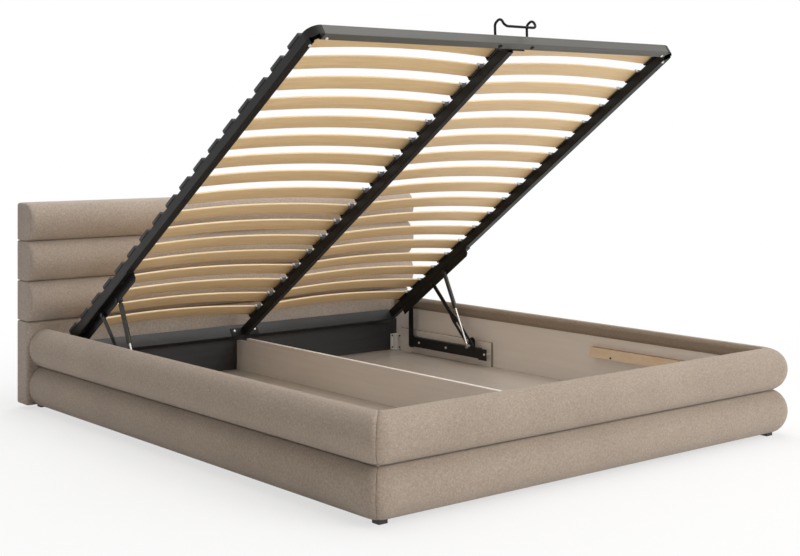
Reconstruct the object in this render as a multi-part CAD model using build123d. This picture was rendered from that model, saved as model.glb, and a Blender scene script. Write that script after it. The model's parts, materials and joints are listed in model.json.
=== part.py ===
from build123d import *
import math
import os

# Upholstered storage bed with a slatted lid on a gas lift, lid raised.
# Millimetres. +X right, +Y to the headboard, +Z up, origin on the floor under the middle.
os.makedirs("parts", exist_ok=True)

# Driving sizes
mattress_width = 1600.0
mattress_length = 2000.0
lid_side_margin = 9.0
lid_end_gap = 20.0
box_side_gap = 38.0
box_head_gap = 13.5
box_foot_gap = 12.5
board_thickness = 20.0
roll_depth = 54.0
junction_pad = 9.0
headboard_thickness = 90.0
headboard_overhang = 7.0
foot_height = 15.0
mitre_turn = 45.0
corner_turn = 90.0
roll_height = 143.0
headboard_lower_height = 315.0
channel_height = 151.0
top_channel_height = 142.0
channel_bulge = 48.0
open_angle = 35.0

# Lid frame tubes
tube_width = 30.0
tube_height = 35.0
tube_wall = 2.0
tube_corner = 3.0
lid_corner_radius = 45.0
head_tube_inset = 6.0
head_tube_drop = 10.0
head_tube_height = 52.0
centre_beam_width = 26.0

# Slats and their holders
slat_count = 17
slat_width = 63.0
slat_thickness = 8.0
slat_rise = 20.0
slat_foot_gap = 61.0
slat_head_gap = 125.0
slat_web = 12.0
holder_side_wall = 2.0
holder_height = 13.0
holder_lip = 7.0
holder_overhang = 1.5
centre_holder_overhang = 4.0
holder_floor = 3.5
holder_edge = 4.0
slat_fit = 0.4

# Hinge and linkage, in the closed lid's own axes: back from its head end and up from its underside
hinge_back = 141.6
hinge_drop = 11.5
hinge_below_rim = 39.0
stay_pivot_back = 354.0
stay_pivot_drop = 18.0
strut_pivot_back = 466.0
strut_pivot_drop = 21.0
slot_pin_reach = 316.0
strut_eye_reach = 338.0
strut_eye_drop = 120.7

# Where the layers of the lift stand, inward from the storage box's side
mount_board_thickness = 12.0
bracket_standoff = 24.0
post_gap = 2.0
plate = 3.0
post_plate = 4.0
stay_plate = 4.0
stay_from_tube_side = 17.0
angle_from_tube_side = 26.0
strut_from_tube_side = 39.0

# Pins, bolts and fits
pin_radius = 5.0
small_pin_radius = 4.0
running_fit = 0.05
layer_gap = 1.5
bolt_head_radius = 5.0
bolt_head_height = 2.5
bolt_shank_radius = 2.5
overrun = 5.0

# Storage box
floor_top = 42.0
floor_thickness = 12.0
divider_thickness = 16.0
divider_height = 134.0
divider_notch_length = 75.0
divider_notch_depth = 14.0
head_panel_height = 138.0
head_panel_thickness = 11.5
lining_thickness = 3.0
lining_height = 50.0
roll_over_board = 16.0

# Derived sizes
lid_width = mattress_width + 2 * lid_side_margin
lid_length = mattress_length - lid_end_gap
box_width = lid_width + 2 * box_side_gap
box_length = lid_length + box_head_gap + box_foot_gap
rail_depth = board_thickness + roll_depth
base_width = box_width + 2 * rail_depth
headboard_width = base_width + 2 * headboard_overhang
total_length = box_length + rail_depth + headboard_thickness
base_top = foot_height + 2 * roll_height
headboard_top = foot_height + headboard_lower_height + 2 * channel_height + top_channel_height
back_y = total_length / 2
head_y = back_y - headboard_thickness
foot_y = head_y - box_length
inner_x = box_width / 2
board_x = inner_x + board_thickness
board_y = foot_y - board_thickness
board_top = base_top - roll_over_board
floor_z = foot_height + floor_top
hinge_height = base_top - hinge_below_rim
tube_x = lid_width / 2
tube_inner_x = tube_x - tube_width
lid_head_y = head_y - box_head_gap
hinge_y = lid_head_y - hinge_back
lid_z = hinge_height + hinge_drop
HINGE = Axis((0, hinge_y, hinge_height), (1, 0, 0))


def span(low, high):
    """A box between two corners."""
    size = [b - a for a, b in zip(low, high)]
    middle = [(a + b) / 2 for a, b in zip(low, high)]
    return Pos(*middle) * Box(*size)


def rod_between(start, end, radius):
    """A round bar between two points."""
    start = Vector(*start)
    end = Vector(*end)
    reach = end - start
    from_start = (Align.CENTER, Align.CENTER, Align.MIN)
    return Plane(origin=start, z_dir=reach) * Cylinder(radius, reach.length, align=from_start)


def bar_x(x_low, x_high, y, z, radius):
    """A round bar along X."""
    return rod_between((x_low, y, z), (x_high, y, z), radius)


def mirrored(shape):
    """The same shape on the left side."""
    return shape.mirror(Plane.YZ)


def raised(shape):
    """Lid pieces are drawn closed and then turned up about the hinge."""
    return shape.rotate(HINGE, -open_angle)


def lid_local(shape):
    """From the lid's own axes (head end and underside at zero) to the closed place."""
    return Pos(0, lid_head_y, lid_z) * shape


def raised_point(back, up):
    """Where a point of the closed lid stands when the lid is raised, as (y, z)."""
    turn = math.radians(open_angle)
    y = hinge_back - back
    z = hinge_drop + up
    return (
        hinge_y + y * math.cos(turn) + z * math.sin(turn),
        hinge_height - y * math.sin(turn) + z * math.cos(turn),
    )


def write(name, shapes):
    """One node, one STEP file."""
    shapes = shapes if isinstance(shapes, list) else [shapes]
    solids = [solid for shape in shapes for solid in shape.solids()]
    node = solids[0] if len(solids) == 1 else Compound(children=solids)
    node.label = name
    export_step(node, "parts/" + name + ".step")


def outward_plane(x, y):
    """Sketch plane with sketch x towards the foot end and sketch y up, facing -X."""
    return Plane(origin=(x, y, 0), x_dir=(0, -1, 0), z_dir=(-1, 0, 0))


def side_x_plane(x):
    """Sketch plane facing +X at x, with sketch x along +Y and sketch y along +Z."""
    return Plane(origin=(x, 0, 0), x_dir=(0, 1, 0), z_dir=(1, 0, 0))


# Rolls of the side rails and the foot rail
roll_top_edge = 6.0
lower_roll_underside = 16.0


def roll_section(upper):
    """Roll outline: sketch x outward from the board, sketch y up."""
    join = foot_height + roll_height
    if upper:
        widest = (roll_depth, join + roll_height / 2)
        crown = (roll_top_edge - board_thickness, base_top)
        outline = [
            Line((0, join), (junction_pad, join)),
            TangentArc(widest, (junction_pad, join), tangent=(0, -1)),
            TangentArc(widest, crown, tangent=(0, 1)),
            Line(crown, (-board_thickness, base_top - roll_top_edge)),
            Line((-board_thickness, base_top - roll_top_edge), (-board_thickness, board_top)),
            Line((-board_thickness, board_top), (0, board_top)),
            Line((0, board_top), (0, join)),
        ]
    else:
        widest = (roll_depth, foot_height + roll_height / 2)
        outline = [
            Line((0, foot_height), (lower_roll_underside, foot_height)),
            TangentArc(widest, (lower_roll_underside, foot_height), tangent=(0, -1)),
            TangentArc(widest, (junction_pad, join), tangent=(0, 1)),
            Line((junction_pad, join), (0, join)),
            Line((0, join), (0, foot_height)),
        ]
    return make_face(Curve() + outline)


def outer_half(section):
    """The part of a roll section outside the board's face."""
    window = Pos(roll_depth, base_top) * Rectangle(2 * roll_depth, 2 * base_top)
    return section & window


def side_roll(upper):
    """Right side roll from the headboard to its half of the rounded corner."""
    section = roll_section(upper)
    plane = Plane(origin=(board_x, head_y, 0), x_dir=(1, 0, 0), z_dir=(0, -1, 0))
    straight = extrude(plane * section, head_y - board_y)
    corner_plane = Plane(origin=(board_x, board_y, 0), x_dir=(1, 0, 0), z_dir=(0, -1, 0))
    pivot = Axis((board_x, board_y, 0), (0, 0, -1))
    corner = revolve(corner_plane * outer_half(section), pivot, mitre_turn)
    mitre = Plane(origin=(board_x, board_y, 0), z_dir=(1, 1, 0))
    return split(straight, bisect_by=mitre, keep=Keep.TOP) + corner


def foot_roll(upper):
    """Foot roll with its halves of both rounded corners."""
    section = roll_section(upper)
    plane = outward_plane(board_x, board_y)
    straight = extrude(plane * section, 2 * board_x)
    pivot = Axis((board_x, board_y, 0), (0, 0, 1))
    corner = revolve(plane * outer_half(section), pivot, mitre_turn)
    right_mitre = Plane(origin=(board_x, board_y, 0), z_dir=(-1, -1, 0))
    left_mitre = Plane(origin=(-board_x, board_y, 0), z_dir=(1, -1, 0))
    straight = split(straight, bisect_by=right_mitre, keep=Keep.TOP)
    straight = split(straight, bisect_by=left_mitre, keep=Keep.TOP)
    return straight + corner + mirrored(corner)


# Headboard
pad_thickness = 40.0
back_cover_thickness = 5.0
core_top_gap = 18.0
channel_end_radius = 16.0
channel_end_steps = 4
channel_end_turn = 80.0
top_back_round = 8.0
lower_pad_round = 14.0
side_wrap = 12.0


def channel_section(x, low, high, bulge, top):
    """Channel outline at x: sketch x forward from the groove plane, sketch y up."""
    plane = outward_plane(x, head_y)
    widest = (bulge, (low + high) / 2)
    crown_back = (high - low) / 2 - channel_bulge
    back = -pad_thickness
    if top:
        core_top = headboard_top - core_top_gap
        rear = -headboard_thickness
        outline = [
            Line((back, low), (0, low)),
            TangentArc(widest, (0, low), tangent=(0, -1)),
            TangentArc(widest, (-crown_back, high), tangent=(0, 1)),
            Line((-crown_back, high), (rear + top_back_round, high)),
            Line((rear + top_back_round, high), (rear, high - top_back_round)),
            Line((rear, high - top_back_round), (rear, core_top)),
            Line((rear, core_top), (back, core_top)),
            Line((back, core_top), (back, low)),
        ]
    else:
        outline = [
            Line((back, low), (0, low)),
            TangentArc(widest, (0, low), tangent=(0, -1)),
            TangentArc(widest, (0, high), tangent=(0, 1)),
            Line((0, high), (back, high)),
            Line((back, high), (back, low)),
        ]
    return plane * make_face(Curve() + outline)


def channel(low, high, top):
    """A padded channel whose crown is drawn in round at both ends."""
    straight = headboard_width / 2 - channel_end_radius
    body = extrude(channel_section(straight, low, high, channel_bulge, top), 2 * straight)
    last_turn = math.radians(channel_end_turn)
    faces = []
    for step in range(channel_end_steps + 1):
        turn = last_turn * step / channel_end_steps
        x = straight + channel_end_radius * math.sin(turn) / math.sin(last_turn)
        bulge = channel_bulge - channel_end_radius * (1 - math.cos(turn))
        faces.append(channel_section(x, low, high, bulge, top))
    end = loft(faces)
    return body + end + mirrored(end) + side_wraps(low, headboard_top - core_top_gap if top else high)


def side_wraps(low, high):
    """The cover's two returns round the headboard's sides to its back edge."""
    outer = headboard_width / 2
    right = span((outer - side_wrap, head_y, low), (outer, back_y, high))
    return right + mirrored(right)


def headboard_lower():
    """Flat lower pad that the side rolls butt against, eased at its top edge."""
    plane = outward_plane(headboard_width / 2, head_y)
    top = foot_height + headboard_lower_height
    outline = [
        Line((-pad_thickness, foot_height), (0, foot_height)),
        Line((0, foot_height), (0, top - lower_pad_round)),
        TangentArc((0, top - lower_pad_round), (-lower_pad_round, top), tangent=(0, 1)),
        Line((-lower_pad_round, top), (-pad_thickness, top)),
        Line((-pad_thickness, top), (-pad_thickness, foot_height)),
    ]
    pad = extrude(plane * make_face(Curve() + outline), headboard_width)
    return pad + side_wraps(foot_height, top)


def write_headboard():
    half = headboard_width / 2 - side_wrap
    core_top = headboard_top - core_top_gap
    core_front = head_y + pad_thickness
    core_back = back_y - back_cover_thickness
    write("headboard_core", span((-half, core_front, foot_height), (half, core_back, core_top)))
    write("headboard_back_cover", span((-half, core_back, foot_height), (half, back_y, core_top)))
    write("headboard_lower_pad", headboard_lower())
    first = foot_height + headboard_lower_height
    write("headboard_channel_1", channel(first, first + channel_height, False))
    write("headboard_channel_2", channel(first + channel_height, first + 2 * channel_height, False))
    write("headboard_channel_3", channel(first + 2 * channel_height, headboard_top, True))


def write_rolls():
    for name, upper in (("upper", True), ("lower", False)):
        side = side_roll(upper)
        write("roll_right_" + name, side)
        write("roll_left_" + name, mirrored(side))
        write("roll_foot_" + name, foot_roll(upper))


# Storage box boards, lining and supports
bearer_count = 3
bearer_width = 60.0
bearer_end_gap = 340.0
batten_height = 38.0
batten_thickness = 22.0
batten_length = 560.0
batten_from_hinge = 1062.0
batten_below_rim = 128.0
foot_batten_height = 30.0
foot_batten_length = 1400.0
foot_batten_gap = 230.0
lid_rest_gap = 0.5
foot_size = 30.0
foot_inset = 4.0
head_foot_inset = 20.0
connector_height = 70.0
connector_leg = 36.0
connector_thickness = 3.0
connector_lift = 1.0
connector_screw_inset = 9.0
connector_screw_radius = 3.5
connector_screw_height = 1.5
mount_board_from_hinge = 494.0
mount_board_length = 594.0
mount_board_height = 101.0
batten_screw_radius = 3.5
batten_screw_end = 105.0
batten_screw_drop = 3.0


def write_boards():
    right = span((inner_x, foot_y, foot_height), (board_x, head_y, board_top))
    write("rail_board_right", right)
    write("rail_board_left", mirrored(right))
    write("rail_board_foot", span((-board_x, board_y, foot_height), (board_x, foot_y, board_top)))
    strip_low = base_top - lining_height
    strip_top = board_top
    strip = span((inner_x - lining_thickness, foot_y, strip_low), (inner_x, head_y, strip_top))
    across = inner_x - lining_thickness
    foot_strip = span((-across, foot_y, strip_low), (across, foot_y + lining_thickness, strip_top))
    write("lining_strips", [strip, mirrored(strip), foot_strip])


def write_box():
    panel_y = head_y - head_panel_thickness
    half_divider = divider_thickness / 2
    floor_low = floor_z - floor_thickness
    write("head_panel", span((-inner_x, panel_y, floor_z), (inner_x, head_y, floor_z + head_panel_height)))
    divider_top = floor_z + divider_height
    divider = span((-half_divider, foot_y, floor_low), (half_divider, panel_y, divider_top))
    notch_low = (-half_divider, panel_y - divider_notch_length, divider_top - divider_notch_depth)
    divider -= span(notch_low, (half_divider, panel_y, divider_top))
    write("divider", divider)
    right = span((half_divider, foot_y, floor_low), (inner_x, head_y, floor_z))
    write("floor_right", right)
    write("floor_left", mirrored(right))
    first = foot_y + bearer_end_gap
    pitch = (box_length - 2 * bearer_end_gap) / (bearer_count - 1)
    bearers = []
    for index in range(bearer_count):
        y = first + index * pitch
        low = (-inner_x, y - bearer_width / 2, foot_height)
        bearers.append(span(low, (inner_x, y + bearer_width / 2, floor_low)))
    write("floor_bearers", bearers)


def write_battens():
    face = inner_x - batten_thickness
    batten_head_y = hinge_y - batten_from_hinge
    batten_low = base_top - batten_below_rim
    low = (face, batten_head_y - batten_length, batten_low)
    right = span(low, (inner_x, batten_head_y, batten_low + batten_height))
    top = lid_z - lid_rest_gap
    start = foot_y + lining_thickness
    foot_low = (foot_batten_gap / 2, start, top - foot_batten_height)
    foot = span(foot_low, (foot_batten_length / 2, start + batten_thickness, top))
    z = batten_low + batten_screw_drop + batten_screw_radius
    screws = []
    for y in (batten_head_y - batten_screw_end, batten_head_y - batten_length + batten_screw_end):
        head = bar_x(face - bolt_head_height, face, y, z, batten_screw_radius)
        screws += [head, mirrored(head)]
    write("side_battens", [right, mirrored(right)])
    write("foot_battens", [foot, mirrored(foot)])
    write("batten_screws", screws)


def write_feet():
    outer = board_x - foot_inset
    foot_front = board_y
    head_front = head_y + head_foot_inset
    feet = []
    for y in (foot_front, head_front):
        right = span((outer - foot_size, y, 0), (outer, y + foot_size, foot_height))
        feet += [right, mirrored(right)]
    write("feet", feet)


def connector(y_face, inward):
    """White corner connector, an L of two plates, with the wall it meets at y_face."""
    low = floor_z + connector_lift
    high = low + connector_height
    x = inner_x
    flat = span((x - connector_leg, min(y_face, y_face + inward * connector_thickness), low),
                (x, max(y_face, y_face + inward * connector_thickness), high))
    along = span((x - connector_thickness, min(y_face, y_face + inward * connector_leg), low),
                 (x, max(y_face, y_face + inward * connector_leg), high))
    body = flat + along
    screws = []
    for z in (low + connector_screw_inset, high - connector_screw_inset):
        start = y_face + inward * connector_thickness
        x_mid = x - connector_leg + connector_screw_inset
        y_mid = y_face + inward * (connector_leg - connector_screw_inset)
        screws.append(rod_between((x_mid, start, z), (x_mid, start + inward * connector_screw_height, z),
                                  connector_screw_radius))
        face = x - connector_thickness
        screws.append(bar_x(face - connector_screw_height, face, y_mid, z, connector_screw_radius))
    return body, screws


def write_connectors():
    bodies = []
    screws = []
    for y_face, inward in ((head_y - head_panel_thickness, -1), (foot_y, 1)):
        body, heads = connector(y_face, inward)
        bodies += [body, mirrored(body)]
        screws += heads + [mirrored(head) for head in heads]
    write("corner_connectors", bodies)
    write("connector_screws", screws)


# Lift bracket on the box side: a channel with a post for the hinge
channel_above_floor = 32.0
channel_web = 42.0
channel_reach = 490.0
channel_end_length = 50.0
channel_end_drop = 5.0
post_width = 28.0
post_foot_round = 12.0
post_fold = 6.0
slot_ear_radius = 17.0
bracket_screw_places = (479.0, 236.0, 58.0)
channel_low = floor_z + channel_above_floor
channel_foot_y = hinge_y - channel_reach
bracket_screw_z = channel_low + channel_web / 2
post_x = tube_x + post_gap
bracket_x = inner_x - mount_board_thickness - bracket_standoff


def stay_points():
    """Raised-lid places of the stay's pivot, slot pin and strut eye as (y, z)."""
    pivot = raised_point(stay_pivot_back, -stay_pivot_drop)
    eye_z = hinge_height - strut_eye_drop
    fall = pivot[1] - eye_z
    run = math.sqrt(strut_eye_reach ** 2 - fall ** 2)
    along = (-run / strut_eye_reach, -fall / strut_eye_reach)
    pin = (pivot[0] + slot_pin_reach * along[0], pivot[1] + slot_pin_reach * along[1])
    eye = (pivot[0] + strut_eye_reach * along[0], eye_z)
    return pivot, pin, eye, along


def lift_bracket():
    """Pressed channel on the mount board, with an upright for the hinge and an ear for the slot pin."""
    pin_y, pin_z = stay_points()[1]
    head_end = hinge_y + post_width / 2
    post_front = hinge_y - post_width / 2
    web_top = channel_low + channel_web
    wide_low = channel_low - channel_end_drop
    wide_end = channel_foot_y + channel_end_length
    web_x = bracket_x + plate
    post_outer = bracket_x + post_plate
    rail = span((bracket_x, channel_foot_y, channel_low), (web_x, head_end, web_top))
    wide = span((bracket_x, channel_foot_y, wide_low), (web_x, wide_end, web_top))
    post = span((bracket_x, post_front, wide_low), (post_outer, head_end, hinge_height))
    corner = post.edges().filter_by(Axis.X).sort_by(Axis.Z)[0:2].sort_by(Axis.Y)[-1:]
    post = fillet(corner, post_foot_round)
    post_top = bar_x(bracket_x, post_outer, hinge_y, hinge_height, post_width / 2)
    fold_low = (post_outer, head_end - plate, web_top)
    fold = span(fold_low, (post_outer + post_fold, head_end, hinge_height - post_width / 2))
    corner_points = [(post_front, web_top), (post_front - post_foot_round, web_top)]
    corner_points.append((post_front, web_top + post_foot_round))
    gusset = extrude(side_x_plane(bracket_x) * make_face(Polyline(*corner_points, close=True)), plate)
    ear = bar_x(bracket_x, web_x, pin_y, pin_z, slot_ear_radius)
    neck_low = (bracket_x, pin_y - slot_ear_radius, channel_low)
    ear_neck = span(neck_low, (web_x, pin_y + slot_ear_radius, pin_z))
    body = rail + wide + post + post_top + fold + gusset + ear + ear_neck
    flange_far = inner_x - mount_board_thickness
    for z in (channel_low, web_top - plate):
        body += span((web_x, wide_end, z), (flange_far, post_front, z + plate))
    bore_start = bracket_x - overrun
    body -= bar_x(bore_start, post_outer + overrun, hinge_y, hinge_height, pin_radius + running_fit)
    for back in bracket_screw_places:
        body -= bar_x(bore_start, post_outer, hinge_y - back, bracket_screw_z, bolt_shank_radius)
    slot_pin = bar_x(stay_x + stay_plate + layer_gap, bracket_x, pin_y, pin_z, pin_radius)
    return body, slot_pin


def write_brackets():
    body, slot_pin = lift_bracket()
    write("lift_bracket_right", body)
    write("lift_bracket_left", mirrored(body))
    write("slot_pins", [slot_pin, mirrored(slot_pin)])
    screws = []
    flange_far = inner_x - mount_board_thickness
    for back in bracket_screw_places:
        y = hinge_y - back
        head = bar_x(bracket_x - bolt_head_height, bracket_x, y, bracket_screw_z, bolt_head_radius)
        shank = bar_x(bracket_x, flange_far, y, bracket_screw_z, bolt_shank_radius)
        screws.append(head + shank)
    write("bracket_screws", screws + [mirrored(screw) for screw in screws])
    board_foot_y = hinge_y - mount_board_from_hinge
    board_corner = (inner_x, board_foot_y + mount_board_length, floor_z + mount_board_height)
    board = span((flange_far, board_foot_y, floor_z), board_corner)
    write("mount_board_right", board)
    write("mount_board_left", mirrored(board))


# Lid frame
def tube_face(width, height):
    """Rectangular tube section centred on the sketch origin."""
    outside = RectangleRounded(width, height, tube_corner)
    return outside - Rectangle(width - 2 * tube_wall, height - 2 * tube_wall)


def tube_along_y(x_middle, y_start, y_end, z_middle, width, height):
    plane = Plane(origin=(x_middle, y_start, z_middle), x_dir=(1, 0, 0), z_dir=(0, -1, 0))
    return extrude(plane * tube_face(width, height), y_start - y_end)


def tube_along_x(x_start, x_end, y_middle, z_middle, width, height):
    plane = Plane(origin=(x_start, y_middle, z_middle), x_dir=(0, 1, 0), z_dir=(1, 0, 0))
    return extrude(plane * tube_face(width, height), x_end - x_start)


corner_notch_width = 30.0
corner_notch_length = 34.0
beam_drop = 10.0
flange_width = 130.0
flange_plate = 3.0
foot_flange_lip = 2.0
flange_bolt_spacing = 98.0
tube_middle = tube_height / 2
beam_top = tube_height - beam_drop
head_flange_y = -(head_tube_inset + tube_width)
foot_flange_y = -(lid_length - tube_width)


def lid_corner():
    """Bent foot corner of the right side, with the relief notch in its underside."""
    centre_x = tube_x - lid_corner_radius
    centre_y = -(lid_length - lid_corner_radius)
    plane = Plane(origin=(tube_x - tube_width / 2, centre_y, tube_middle), x_dir=(1, 0, 0), z_dir=(0, -1, 0))
    axis = Axis((centre_x, centre_y, 0), (0, 0, -1))
    bend = revolve(plane * tube_face(tube_width, tube_height), axis, corner_turn)
    turn = Plane(origin=(centre_x, centre_y, 0), x_dir=(1, -1, 0), z_dir=(0, 0, 1))
    mean = lid_corner_radius - tube_width / 2
    notch_height = 2 * (tube_wall + tube_corner)
    notch = turn * Pos(mean - tube_wall, 0, 0) * Box(corner_notch_width, corner_notch_length, notch_height)
    return bend - notch


def write_lid_frame():
    side_end = -(lid_length - lid_corner_radius)
    side = tube_along_y(tube_x - tube_width / 2, 0, side_end, tube_middle, tube_width, tube_height)
    half_foot = tube_x - lid_corner_radius
    foot_middle = -(lid_length - tube_width / 2)
    foot = tube_along_x(-half_foot, half_foot, foot_middle, tube_middle, tube_width, tube_height)
    for x in retainer_sides:
        top = (x, foot_middle, tube_height + overrun)
        foot -= rod_between((x, foot_middle, -overrun), top, retainer_radius + layer_gap)
    head_middle = head_tube_height / 2 - head_tube_drop
    head_y_middle = -(head_tube_inset + tube_width / 2)
    head = tube_along_x(-tube_inner_x, tube_inner_x, head_y_middle, head_middle, tube_width, head_tube_height)
    beam_start = head_flange_y - flange_plate
    beam_end = foot_flange_y + flange_plate
    beam_middle = tube_middle - beam_drop
    beam = tube_along_y(0, beam_start, beam_end, beam_middle, centre_beam_width, tube_height)
    corner = lid_corner()
    write_raised("lid_tube_right", side)
    write_raised("lid_tube_left", mirrored(side))
    write_raised("lid_tube_foot", foot)
    write_raised("lid_tube_head", head)
    write_raised("lid_centre_beam", beam)
    write_raised("lid_corner_right", corner)
    write_raised("lid_corner_left", mirrored(corner))
    flange_x = flange_width / 2
    head_flange = span((-flange_x, beam_start, -beam_drop), (flange_x, head_flange_y, beam_top))
    foot_flange = span((-flange_x, foot_flange_y, -foot_flange_lip), (flange_x, beam_end, beam_top))
    write_raised("beam_flanges", [head_flange, foot_flange])


def write_raised(name, shapes):
    """A lid node, drawn closed in the lid's own axes and written raised."""
    shapes = shapes if isinstance(shapes, list) else [shapes]
    write(name, [raised(lid_local(shape)) for shape in shapes])


# Slats and their holders
def slat_places():
    """Head edge of each slat, back from the lid's head end."""
    last = lid_length - slat_foot_gap - slat_width
    pitch = (last - slat_head_gap) / (slat_count - 1)
    return [slat_head_gap + index * pitch for index in range(slat_count)]


def slat(place, fit):
    """A sprung slat of the right column, bowed towards the mattress, grown by a fit."""
    low = tube_height + holder_floor - fit
    start = slat_web / 2 + slat_fit - fit
    end = tube_x - tube_width / 2 + fit
    middle = (start + end) / 2
    high = low + slat_thickness + 2 * fit
    under = ThreePointArc((start, low), (middle, low + slat_rise), (end, low))
    over = ThreePointArc((end, high), (middle, high + slat_rise), (start, high))
    outline = [under, Line((end, low), (end, high)), over, Line((start, high), (start, low))]
    plane = Plane(origin=(0, -(place - fit), 0), x_dir=(1, 0, 0), z_dir=(0, -1, 0))
    return extrude(plane * make_face(Curve() + outline), slat_width + 2 * fit)


def holder(place, x_low, x_high, seat, sloped):
    """A moulded holder that grips the end of a slat, seated on a tube's top."""
    y_low = -(place + slat_width + holder_side_wall)
    y_high = -(place - holder_side_wall)
    body = span((x_low, y_low, seat), (x_high, y_high, tube_height + holder_height))
    if sloped:
        body = chamfer(body.edges().filter_by(Axis.Y).sort_by(Axis.Z)[-2:].sort_by(Axis.X)[-1:], holder_edge)
    return body


def write_slats():
    slats = []
    side_holders = []
    centre_holders = []
    half_centre = centre_beam_width / 2 + centre_holder_overhang
    inner = tube_inner_x - holder_lip
    outer = tube_x + holder_overhang
    for place in slat_places():
        slats.append(slat(place, 0))
        pocket = slat(place, slat_fit)
        side_holders.append(holder(place, inner, outer, tube_height, True) - pocket)
        centre = holder(place, -half_centre, half_centre, beam_top, False)
        centre_holders.append(centre - pocket - mirrored(pocket))
    write_raised("slats_right", slats)
    write_raised("slats_left", [mirrored(shape) for shape in slats])
    write_raised("slat_holders_right", side_holders)
    write_raised("slat_holders_left", [mirrored(shape) for shape in side_holders])
    write_raised("slat_holders_centre", centre_holders)


# Wire retainer at the foot end and the lid's bolts
retainer_radius = 4.3
retainer_offset = 16.0
retainer_half = 72.0
retainer_stem = 6.0
retainer_lean = 22.0
retainer_rise = 40.0
retainer_reach = 54.0
retainer_fall = 35.0
retainer_bend = 16.0
retainer_under = 2.0
eyelet_radius = 7.0
corner_bolt_from_end = 57.0
corner_bolt_from_side = 62.0
corner_bolt_inset = 22.0
flange_bolt_places = (200.0, 560.0)
retainer_sides = (retainer_offset - retainer_half, retainer_offset + retainer_half)


def retainer():
    """Round wire that rises from the foot tube, leans outward and joins across."""
    y = -(lid_length - tube_width / 2)
    out = y - retainer_reach
    top = tube_height + retainer_rise
    bar = top - retainer_fall
    stem = tube_height + retainer_stem
    lean = y - retainer_lean
    left, right = retainer_sides
    points = [(left, y, -retainer_under), (left, y, stem), (left, lean, top), (left, out, top)]
    points += [(left, out, bar), (right, out, bar), (right, out, top), (right, lean, top)]
    points += [(right, y, stem), (right, y, -retainer_under)]
    path = FilletPolyline(*points, radius=retainer_bend)
    return sweep(Plane(origin=points[0], z_dir=(0, 0, 1)) * Circle(retainer_radius), path=path)


def bolt_under(x, y, z):
    """A bolt head on an underside."""
    return rod_between((x, y, z - bolt_head_height), (x, y, z), bolt_head_radius)


def write_lid_fixings():
    write_raised("mattress_retainer", retainer())
    y = -(lid_length - tube_width / 2)
    eyelets = []
    for x in retainer_sides:
        ring = rod_between((x, y, -retainer_under), (x, y, 0), eyelet_radius)
        eyelets.append(ring - rod_between((x, y, -overrun), (x, y, overrun), retainer_radius))
    write_raised("retainer_eyelets", eyelets)
    bolts = [bolt_under(tube_x - corner_bolt_inset, -(lid_length - corner_bolt_from_end), 0)]
    bolts.append(bolt_under(tube_x - corner_bolt_from_side, -(lid_length - corner_bolt_inset), 0))
    bolt_x = flange_bolt_spacing / 2
    for y, way in ((head_flange_y - flange_plate, -1), (foot_flange_y + flange_plate, 1)):
        start = (bolt_x, y, beam_top / 2)
        bolts.append(rod_between(start, (bolt_x, y + way * bolt_head_height, beam_top / 2), bolt_head_radius))
    for place in flange_bolt_places:
        bolts.append(bolt_under(tube_x - tube_width / 2, -place, -plate))
    write_raised("lid_bolts", bolts + [mirrored(bolt) for bolt in bolts])


# Lift linkage: lid bracket, pins, slotted stay, gas cylinder and rod
lid_bracket_start = 121.0
lid_bracket_end = 628.0
lid_bracket_depth = 33.0
lid_bracket_slope = 12.0
lid_bracket_nose = 24.0
stay_end_radius = 16.5
stay_top_radius = 9.0
stay_narrow_share = 0.45
stay_wide_share = 0.57
slot_fit = 0.5
rivet_radius = 6.0
pin_head_radius = 7.5
cylinder_radius = 9.0
cylinder_length = 164.0
cylinder_start = 15.0
cylinder_neck_radius = 6.0
cylinder_bore_start = 30.0
rod_radius = 4.0
rod_length = 208.0
eye_radius = 9.0
eye_width = 10.0
angle_x = tube_x - angle_from_tube_side
stay_x = tube_x - stay_from_tube_side - stay_plate
strut_x = tube_x - strut_from_tube_side


def lid_bracket():
    """Angle under the side tube that carries the three pivots."""
    low = -lid_bracket_depth
    outline = Polyline(
        (-lid_bracket_start, 0),
        (-lid_bracket_start, low),
        (-(lid_bracket_end - lid_bracket_slope), low),
        (-lid_bracket_end, -lid_bracket_nose),
        (-lid_bracket_end, 0),
        close=True,
    )
    web = extrude(side_x_plane(angle_x - plate) * make_face(outline), plate)
    flange = span((angle_x, -lid_bracket_end, -plate), (tube_x, -lid_bracket_start, 0))
    body = web + flange
    hole_start = angle_x - plate - overrun
    hole_end = angle_x + overrun
    for back, drop in ((hinge_back, hinge_drop), (stay_pivot_back, stay_pivot_drop)):
        body -= bar_x(hole_start, hole_end, -back, -drop, pin_radius)
    return body - bar_x(hole_start, hole_end, -strut_pivot_back, -strut_pivot_drop, small_pin_radius)


def headed_pin(start, end, back, drop, radius):
    """A pivot pin with a head outside each end, at a place in the lid's own axes."""
    inner = bar_x(start - bolt_head_height, start, -back, -drop, pin_head_radius)
    outer = bar_x(end, end + bolt_head_height, -back, -drop, pin_head_radius)
    return bar_x(start, end, -back, -drop, radius) + inner + outer


def write_lid_brackets():
    body = lid_bracket()
    write_raised("lid_bracket_right", body)
    write_raised("lid_bracket_left", mirrored(body))
    inner = angle_x - plate
    post_outer = bracket_x + post_plate + layer_gap
    stay_outer = stay_x + stay_plate + layer_gap
    strut_inner = strut_x - eye_width / 2 - layer_gap
    pins = [headed_pin(inner, post_outer, hinge_back, hinge_drop, pin_radius)]
    pins.append(headed_pin(inner, stay_outer, stay_pivot_back, stay_pivot_drop, pin_radius))
    pins.append(headed_pin(strut_inner, angle_x, strut_pivot_back, strut_pivot_drop, small_pin_radius))
    write_raised("pivot_pins", pins + [mirrored(pin) for pin in pins])


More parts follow.
